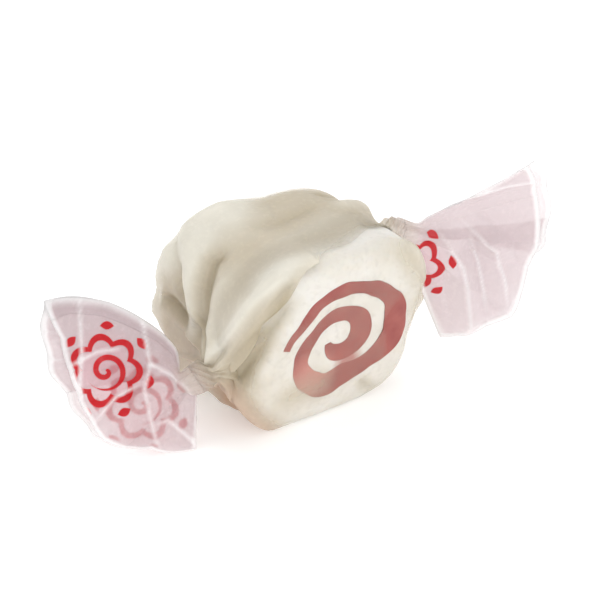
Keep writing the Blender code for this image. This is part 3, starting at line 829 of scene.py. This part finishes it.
def red_taffy():
    """Red taffy, mottled and paler low on the face."""
    material = new_material("red taffy")
    tree = material.node_tree
    place = object_place(tree)
    mottled = remap(tree, noise(tree, place, 420.0, 6.0), 0.35, 0.7)
    colour = blend(tree, mottled, (0.30, 0.055, 0.045, 1.0), (0.37, 0.09, 0.072, 1.0))
    pale = maths(tree, "MULTIPLY", near_spot(tree, place, PALE_AT, 0.0012, 0.0042), 0.8)
    colour = blend(tree, pale, colour, (0.62, 0.26, 0.22, 1.0))
    taffy_surface(tree, place, colour, 3000.0, (0.2, (1.0, 0.5, 0.4), 0.0005))
    return material


def stroke(tree, distance, full, none):
    """1 within full of a line, and 0 from none on."""
    return remap(tree, maths(tree, "ABSOLUTE", distance), full, none, 1.0, 0.0)


def flower(tree, out, across, middle, turn):
    """A scalloped ring with a spiral inside and beads outside, and the blush of its round ground, in mm."""
    x = maths(tree, "SUBTRACT", out, middle[0])
    y = maths(tree, "SUBTRACT", across, middle[1])
    reach = maths(tree, "SQRT", maths(tree, "MULTIPLY_ADD", x, x, maths(tree, "MULTIPLY", y, y)))
    angle = maths(tree, "ADD", maths(tree, "ARCTAN2", y, x), turn)
    scallops = maths(tree, "ABSOLUTE", maths(tree, "SINE", maths(tree, "MULTIPLY", angle, 3.5)))
    ring_line = maths(tree, "MULTIPLY_ADD", scallops, 0.9, 3.1)
    ring = stroke(tree, maths(tree, "SUBTRACT", reach, ring_line), 0.36, 0.46)
    turned_by = maths(tree, "DIVIDE", angle, 2 * math.pi)
    turns = maths(tree, "SUBTRACT", maths(tree, "DIVIDE", reach, 1.75), turned_by)
    coil = stroke(tree, maths(tree, "SUBTRACT", maths(tree, "FRACT", turns), 0.5), 0.17, 0.22)
    coil = maths(tree, "MULTIPLY", coil, remap(tree, reach, 2.3, 2.4, 1.0, 0.0))
    spokes = maths(tree, "MULTIPLY", maths(tree, "SINE", maths(tree, "MULTIPLY", angle, 7.0)), 0.9)
    beads_away = maths(tree, "ADD", maths(tree, "ABSOLUTE", maths(tree, "SUBTRACT", reach, 5.3)), spokes)
    beads = remap(tree, beads_away, -0.45, -0.35, 1.0, 0.0)
    blush = remap(tree, reach, 2.4, 5.4, 1.0, 0.0)
    return maths(tree, "MAXIMUM", maths(tree, "MAXIMUM", ring, coil), beads), blush


def print_mask(tree, fan):
    """The red flowers printed on the fans, by place on the flattened paper, and the blush round them."""
    flat = add(tree, "ShaderNodeUVMap", settings={"uv_map": "print"}).outputs[0]
    split = add(tree, "ShaderNodeSeparateXYZ", sockets={0: flat})
    printed, blush = 0.0, 0.0
    for middle, turn in FLOWERS:
        red, glow = flower(tree, split.outputs[0], split.outputs[1], middle, turn)
        printed = maths(tree, "MAXIMUM", red, printed)
        blush = maths(tree, "MAXIMUM", glow, blush)
    in_fan = remap(tree, fan, 0.7, 0.8)
    return maths(tree, "MULTIPLY", printed, in_fan), maths(tree, "MULTIPLY", blush, in_fan)


def paper_colour(tree, haze, fan, dip, painted_brown_shade):
    """Cream on the sweet, painted shade in dips and under the left neck, painted highlight on crests, pink
    fans and the print mask.
    """
    # Painted shade in dips, a painted highlight on ridges and painted brown shade under the left neck
    colour = blend(tree, maths(tree, "MULTIPLY", dip, 0.75), FILM_CREAM, FILM_PAINTED_FOLD_SHADE)
    painted_highlight = maths(tree, "MULTIPLY", maths(tree, "MINIMUM", dip, 0.0), -0.9)
    colour = blend(tree, painted_highlight, colour, FILM_PAINTED_HIGHLIGHT)
    colour = blend(tree, maths(tree, "MULTIPLY", painted_brown_shade, 0.9), colour, FILM_PAINTED_BROWN_SHADE)
    colour = blend(tree, fan, colour, FAN_PINK)
    printed, blush = print_mask(tree, fan)
    colour = blend(tree, maths(tree, "MULTIPLY", blush, 0.6), colour, BLUSH_PINK)
    colour = blend(tree, printed, colour, PRINT_RED)
    edges = maths(tree, "MULTIPLY", remap(tree, haze, 1.05, 1.8), remap(tree, fan, 0.5, 0.9))
    return blend(tree, edges, colour, WHITE_EDGE), printed


def paper_cover(tree, place, haze, dip, painted_brown_shade, printed):
    """How much the paper hides: more where it stands off, in folds and under the left neck where shade and
    highlight are painted, under the print, and unevenly.
    """
    clouds = remap(tree, noise(tree, place, 240.0, 6.0), 0.3, 0.7)
    specks = remap(tree, noise(tree, place, 1500.0, 4.0), 0.5, 0.75)
    # The paper hides more where painted shade and painted highlight are, so that they show
    painted_shade_and_highlight = maths(tree, "MAXIMUM", maths(tree, "ABSOLUTE", dip), painted_brown_shade)
    cover = maths(tree, "MULTIPLY_ADD", haze, 0.32, 0.03)
    cover = maths(tree, "MULTIPLY_ADD", painted_shade_and_highlight, 0.25, cover)
    cover = maths(tree, "MULTIPLY_ADD", clouds, 0.05, cover)
    cover = maths(tree, "MAXIMUM", cover, maths(tree, "MULTIPLY", printed, 0.9))
    return maths(tree, "MULTIPLY_ADD", specks, 0.06, cover)


def waxed_paper():
    """Waxed paper: almost clear where it lies on the sweet, and white where it stands off or fans out."""
    material = new_material("waxed paper")
    tree = material.node_tree
    place = object_place(tree)
    haze, fan, dip, painted_brown_shade = (attribute(tree, name) for name in ("haze", "fan", "dip", "painted_brown_shade"))
    colour, printed = paper_colour(tree, haze, fan, dip, painted_brown_shade)
    cover = paper_cover(tree, place, haze, dip, painted_brown_shade, printed)
    crinkles = maths(tree, "ABSOLUTE", maths(tree, "SUBTRACT", noise(tree, place, 420.0, 3.0), 0.5))
    bumps = add(tree, "ShaderNodeBump", sockets={"Height": crinkles, "Distance": 0.0004, "Strength": 0.22})
    shine = add(tree, "ShaderNodeBsdfPrincipled", sockets={
        "Base Color": colour, "Roughness": 0.34, "Normal": bumps.outputs[0],
        "Coat Weight": 0.2, "Coat Roughness": 0.25,
    })
    glow = add(tree, "ShaderNodeBsdfTranslucent", sockets={"Color": colour, "Normal": bumps.outputs[0]})
    paper = add(tree, "ShaderNodeMixShader", sockets={0: 0.4, 1: shine.outputs[0], 2: glow.outputs[0]})
    clear = add(tree, "ShaderNodeBsdfTransparent")
    film = add(tree, "ShaderNodeMixShader", sockets={0: cover, 1: clear.outputs[0], 2: paper.outputs[0]})
    surface(tree, film)
    return material


def build_papers(waxed):
    """The sheet in three pieces: round the sweet and its necks, and one for each fan."""
    around = np.linspace(0.0, SHEET_TURNS, COLUMNS + 1)
    left, right = end_rows(LEFT_END, around), end_rows(RIGHT_END, around)
    neck = BODY_ROWS + NECK_ROWS
    papers = [
        new_piece("paper_round_sweet", paper_shape(left[neck::-1] + right[1 : neck + 1]), waxed),
        new_piece("paper_left_fan", paper_shape(left[:neck - 1:-1]), waxed),
        new_piece("paper_right_fan", paper_shape(right[neck:]), waxed),
    ]
    for paper in papers:
        thicken = paper.modifiers.new("thickness", "SOLIDIFY")
        thicken.thickness = FILM_THICK
        thicken.offset = -1.0
    return papers


def build_object():
    """The sweet with its slot, the swirl in the slot and the paper, each riding on the root."""
    sweet = new_piece("sweet", sweet_shape(), cream_taffy())
    red = red_taffy()
    cutter = new_piece("slot", swirl_shape(SWIRL_GAP, SLOT_PAST_FACE), red)
    take_out(sweet, cutter)
    swirl = new_piece("swirl_strip", swirl_shape(0.0, SWIRL_PROUD), red)
    swirl.data.set_sharp_from_angle(angle=SHARP_ANGLE)
    papers = build_papers(waxed_paper())
    for piece, node, slot in (
        (sweet, "taffy", "cream_taffy"), (swirl, "swirl", "red_taffy"),
        *[(paper, "wrapper", "wax_paper") for paper in papers],
    ):
        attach(piece, "root")
        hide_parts(node)


def white_table():
    """A plain white table top, which glows a little so that it stays white."""
    bm = bmesh.new()
    bmesh.ops.create_grid(bm, x_segments=1, y_segments=1, size=TABLE_HALF_SIZE)
    bmesh.ops.translate(bm, verts=bm.verts, vec=(0.0, 0.0, -TABLE_BELOW))
    material = new_material("white table")
    tree = material.node_tree
    shader = add(tree, "ShaderNodeBsdfPrincipled", sockets={
        "Base Color": (0.9, 0.9, 0.9, 1.0), "Roughness": 0.6,
        "Emission Color": (1.0, 1.0, 1.0, 1.0), "Emission Strength": 0.32,
    })
    surface(tree, shader)
    return new_piece("table", bm, material)


def build_stage():
    """A plain white table, soft white light and the camera."""
    table = white_table()
    world = bpy.data.worlds.new("studio")
    bpy.context.scene.world = world
    world.use_nodes = True
    background = world.node_tree.nodes["Background"]
    background.inputs[0].default_value = (1.0, 1.0, 1.0, 1.0)
    background.inputs[1].default_value = SKY_LIGHT
    for name, place, size, power in LIGHTS:
        lamp = bpy.data.lights.new(name, "AREA")
        lamp.shape = "DISK"
        lamp.size = size
        lamp.energy = power
        light = bpy.data.objects.new(name, lamp)
        light.location = place
        light.rotation_euler = (LIT_POINT - Vector(place)).to_track_quat("-Z", "Y").to_euler()
        bpy.context.scene.collection.objects.link(light)
    add_camera()


def add_camera():
    """The camera at the photo's angle, looking at the middle of the CAD box."""
    level = math.cos(CAMERA_ELEVATION)
    towards = Vector((
        level * math.sin(CAMERA_AZIMUTH), -level * math.cos(CAMERA_AZIMUTH), math.sin(CAMERA_ELEVATION)
    ))
    lens = bpy.data.cameras.new("camera")
    lens.lens = SENSOR_WIDTH * CAMERA_AWAY / VIEW_WIDTH
    camera = bpy.data.objects.new("camera", lens)
    low, high = cad_box
    target = Vector(((low[0] + high[0]) / 2, (low[1] + high[1]) / 2, CAMERA_LOOKS_AT))
    camera.location = target + towards * CAMERA_AWAY
    camera.rotation_euler = towards.to_track_quat("Z", "Y").to_euler()
    bpy.context.scene.collection.objects.link(camera)
    bpy.context.scene.camera = camera
    bpy.context.scene.view_settings.view_transform = "Standard"


build_object()
build_stage()
